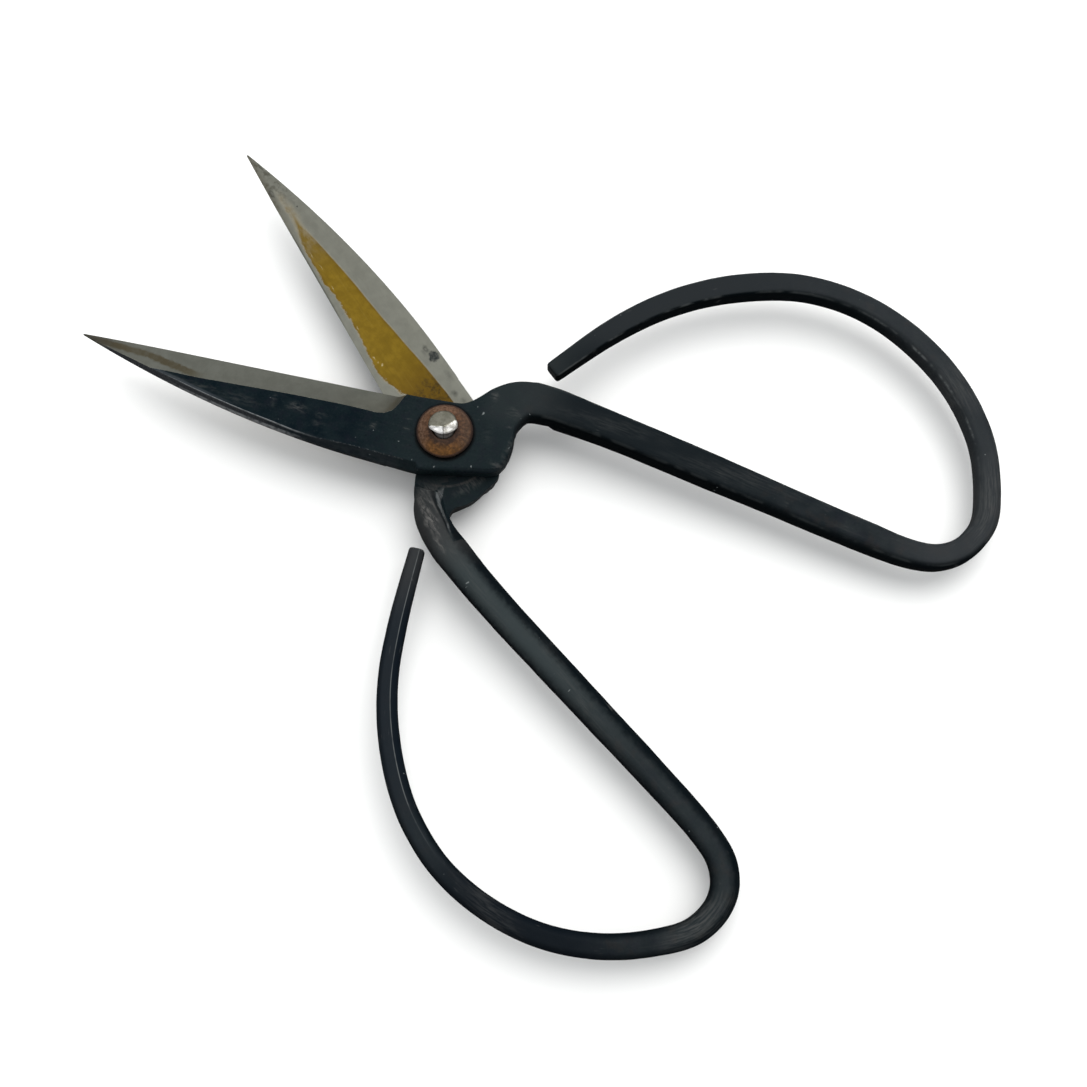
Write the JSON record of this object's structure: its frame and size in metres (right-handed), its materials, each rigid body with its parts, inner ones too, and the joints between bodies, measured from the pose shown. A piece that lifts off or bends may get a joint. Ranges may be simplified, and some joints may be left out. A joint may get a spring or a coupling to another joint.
{
  "type": "fabric shears",
  "caption": "Hand-forged fabric shears with two tapering blades, open finger bows, domed washers and a peened pivot rivet that lets the blades open and close.",
  "frame": {"origin": "centre of the flat peened face of the rear rivet head, on the pivot axis", "axes": "+Z along the pivot rivet, from the rear face to the front face; +X splits the angle between the open blades, from the pivot towards the tips; +Y completes a right-handed frame, towards the front half's blade side"},
  "size_m": [0.1853, 0.1568, 0.0172],
  "materials": {
    "forged_black_front": "black forge scale, satin, blade ground to grey steel along the edge",
    "forged_black_rear": "black forge scale, satin, inner blade face ground grey with an amber lacquered hollow",
    "peened_steel": "hammered bright steel",
    "rusty_washer_front": "brown rust, matte",
    "rusty_washer_rear": "brown rust, matte"
  },
  "bodies": {
    "rear_half": {"rear_blade_half": "forged_black_rear", "pivot_rivet": "peened_steel", "front_dome_washer": "rusty_washer_front", "rear_dome_washer": "rusty_washer_rear"},
    "front_half": {"front_blade_half": "forged_black_front"}
  },
  "joints": [
    {"name": "blade_pivot", "type": "hinge", "parent": "rear_half", "child": "front_half", "pos_m": [0, 0, 0.0086], "axis": [0, 0, 1], "range_deg": [-39, 20]}
  ]
}
